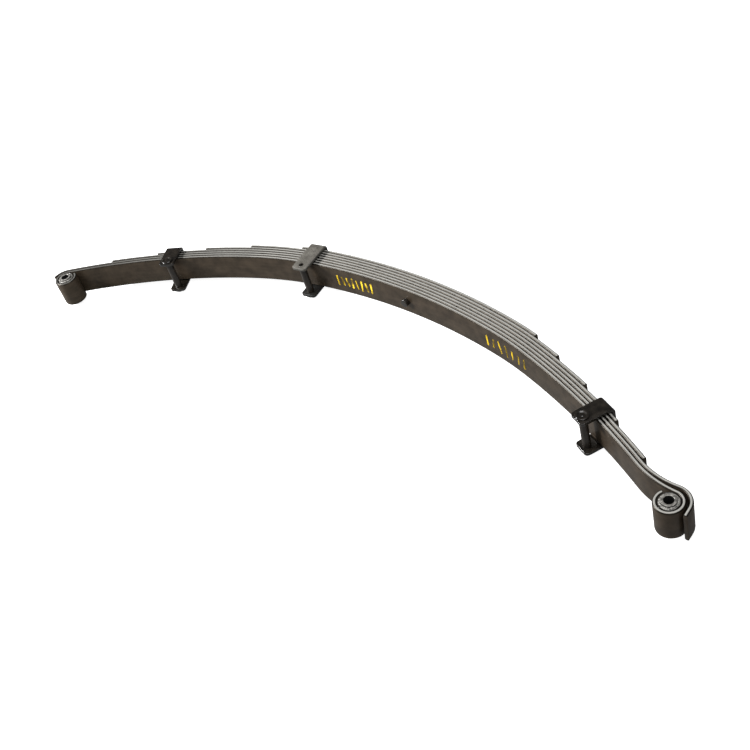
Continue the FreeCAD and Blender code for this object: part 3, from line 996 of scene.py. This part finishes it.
def make_clip(name, side, gripped, inside, fitting, paint, strap_paint, tube_paint):
    """Strap, spacer tube, rivet and bolt of one clip."""
    frame_place = clip_place(side, gripped, inside)
    bolt_place = frame_place @ Matrix.Translation((0, -CLIP_BOLT_REACH, 0))
    strap = make_strap(name + "_bent_strap", gripped, strap_paint, frame_place)
    strap = drilled(strap, SPACER_BORE, bolt_place.translation, 4 * ARM_OUTER)
    spacer_half = ARM_INNER - SPACER_PLAY
    spacer = turned_part(name + "_spacer", [
        (SPACER_RADIUS, -spacer_half), (SPACER_RADIUS, spacer_half),
        (SPACER_BORE, spacer_half), (SPACER_BORE, -spacer_half)], tube_paint, bolt_place, tube=True)
    back = gripped * PITCH - PAINT_GAP + STRAP_BACK_CLEARANCE + STRAP_THICKNESS
    foot = (gripped - 1) * PITCH + RIVET_FOOT
    rivet = turned_part(name + "_dome_rivet", [
        (0.0, foot), (RIVET_RADIUS, foot), (RIVET_RADIUS, back), (RIVET_HEAD_RADIUS, back),
        (RIVET_HEAD_RADIUS, back + 0.6 * MM),
        (0.75 * RIVET_HEAD_RADIUS, back + 0.8 * RIVET_HEAD_HEIGHT),
        (0.0, back + RIVET_HEAD_HEIGHT)], paint,
        frame_place @ Matrix.Rotation(math.radians(-90), 4, "X"), round_off=1.5 * MM)
    made = [(strap, "_strap", "clip_steel"), (spacer, "_spacer_tube", "clip_steel"),
            (rivet, "_rivet", "fastener_steel")]
    if fitting == "hollow_pin":
        made.append((make_hollow_pin(name, paint, bolt_place), "_pin", "fastener_steel"))
    else:
        profile = [(0.0, -ARM_INNER), (BOLT_RADIUS, -ARM_INNER)] + dished_head()
        head = turned_part("clip_bolt_head", profile, paint, bolt_place)
        flip = bolt_place @ Matrix.Rotation(math.pi, 4, "X")
        thread = threaded_stud("clip_bolt_thread", BOLT_RADIUS, ARM_INNER - 1 * MM,
                               ARM_OUTER + CLIP_NUT_HEIGHT, paint, flip)
        made.append((joined(name + "_round_bolt", [head, thread]), "_bolt", "fastener_steel"))
        nut = hex_nut(name + "_thin_nut", NUT_FLATS, CLIP_NUT_HEIGHT, BOLT_RADIUS, paint,
                      flip @ Matrix.Translation((0, 0, ARM_OUTER)))
        made.append((nut, "_nut", "fastener_steel"))
    for piece, ending, slot in made:
        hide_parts(name + ending)
        if name == "rear_inner_clip":
            flex(piece, side)
        else:
            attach(piece, ARM_BODY[side])


def make_hollow_pin(name, material, place):
    """Headed pin whose far end is bored and peened flush with the arm."""
    bottom = -ARM_OUTER
    floor = bottom + PIN_BORE_DEPTH
    profile = [(0.0, floor), (PIN_BORE, floor), (PIN_BORE, bottom), (BOLT_RADIUS, bottom)]
    turned = place @ Matrix.Rotation(math.pi, 4, "X")
    return turned_part(name + "_bored_pin", profile + dished_head(), material, turned)


# ---------------------------------------------------------------- studio
TABLE_HALF = 12.0
LIGHT_TARGET = Vector((0, -0.1, 0))
CAMERA_PLACE = Vector((1.28581, -1.05773, 1.32487))
CAMERA_HEADING = math.radians(-54.160)
CAMERA_DIP = math.radians(41.725)
CAMERA_ROLL = math.radians(-18.504)
CAMERA_LENS_MM = 52.05


def make_camera():
    """Standing eye level, looking down along the spring from its front end."""
    forward = Vector((math.sin(CAMERA_HEADING) * math.cos(CAMERA_DIP),
                      math.cos(CAMERA_HEADING) * math.cos(CAMERA_DIP), -math.sin(CAMERA_DIP)))
    level = forward.cross(UP).normalized()
    axes = Matrix((level, level.cross(forward), -forward)).transposed()
    data = bpy.data.cameras.new("studio_camera")
    data.lens = CAMERA_LENS_MM
    camera = bpy.data.objects.new("studio_camera", data)
    bpy.context.scene.collection.objects.link(camera)
    roll = Matrix.Rotation(CAMERA_ROLL, 3, "Z")
    camera.matrix_world = Matrix.Translation(CAMERA_PLACE) @ (axes @ roll).to_4x4()
    bpy.context.scene.camera = camera


def soft_box(name, towards, distance, size, power):
    """Square light facing the middle of the arch."""
    data = bpy.data.lights.new(name, "AREA")
    data.shape = "SQUARE"
    data.size = size
    data.energy = power
    light = bpy.data.objects.new(name, data)
    bpy.context.scene.collection.objects.link(light)
    direction = Vector(towards).normalized()
    light.location = LIGHT_TARGET + direction * distance
    light.rotation_mode = "QUATERNION"
    light.rotation_quaternion = direction.to_track_quat("Z", "Y")


def make_studio():
    """Backlit white table, dim room light, a key from the rear end and two weaker soft boxes."""
    floor_level = CAD_BOX[0].z
    mesh = bpy.data.meshes.new("table_top")
    corners = [(x * TABLE_HALF, y * TABLE_HALF, floor_level)
               for x, y in ((-1, -1), (1, -1), (1, 1), (-1, 1))]
    mesh.from_pydata(corners, [], [(0, 1, 2, 3)])
    mesh.materials.append(studio_floor())
    floor = bpy.data.objects.new("table_top", mesh)
    bpy.context.scene.collection.objects.link(floor)
    world = bpy.data.worlds.new("studio_air")
    world.use_nodes = True
    background = world.node_tree.nodes["Background"]
    background.inputs["Color"].default_value = linear("#ffffff")
    background.inputs["Strength"].default_value = 0.1
    bpy.context.scene.world = world
    soft_box("key_soft_box", (-0.72, -0.48, 0.5), 2.8, 0.6, 120)
    soft_box("top_soft_box", (0.2, -0.1, 1.0), 2.6, 1.6, 40)
    soft_box("side_soft_box", (0.7, -0.5, 0.5), 2.4, 0.9, 6)
    bpy.context.scene.view_settings.view_transform = "Standard"


# ---------------------------------------------------------------- the spring
make_camera()
LEAF_STEEL = leaf_steel()
GLOSS_BLACK = gloss_black()
WORN_GREY = worn_grey_strap()
TUBE_BLACK = satin_black_tube()
make_leaves(rolled_bar_tree(), LEAF_STEEL)
make_paint_marks(paint_strokes_tree(), marking_yellow())
make_centre_bolt(GLOSS_BLACK)
RUBBER = oversprayed_rubber()
SLEEVE_STEEL = turned_sleeve_steel()
for end in (FRONT, REAR):
    make_bush(end, GLOSS_BLACK, RUBBER, SLEEVE_STEEL)
for clip in CLIPS:
    strap_paint = WORN_GREY if clip[0] == "rear_inner_clip" else GLOSS_BLACK
    make_clip(*clip, GLOSS_BLACK, strap_paint, TUBE_BLACK)
make_studio()
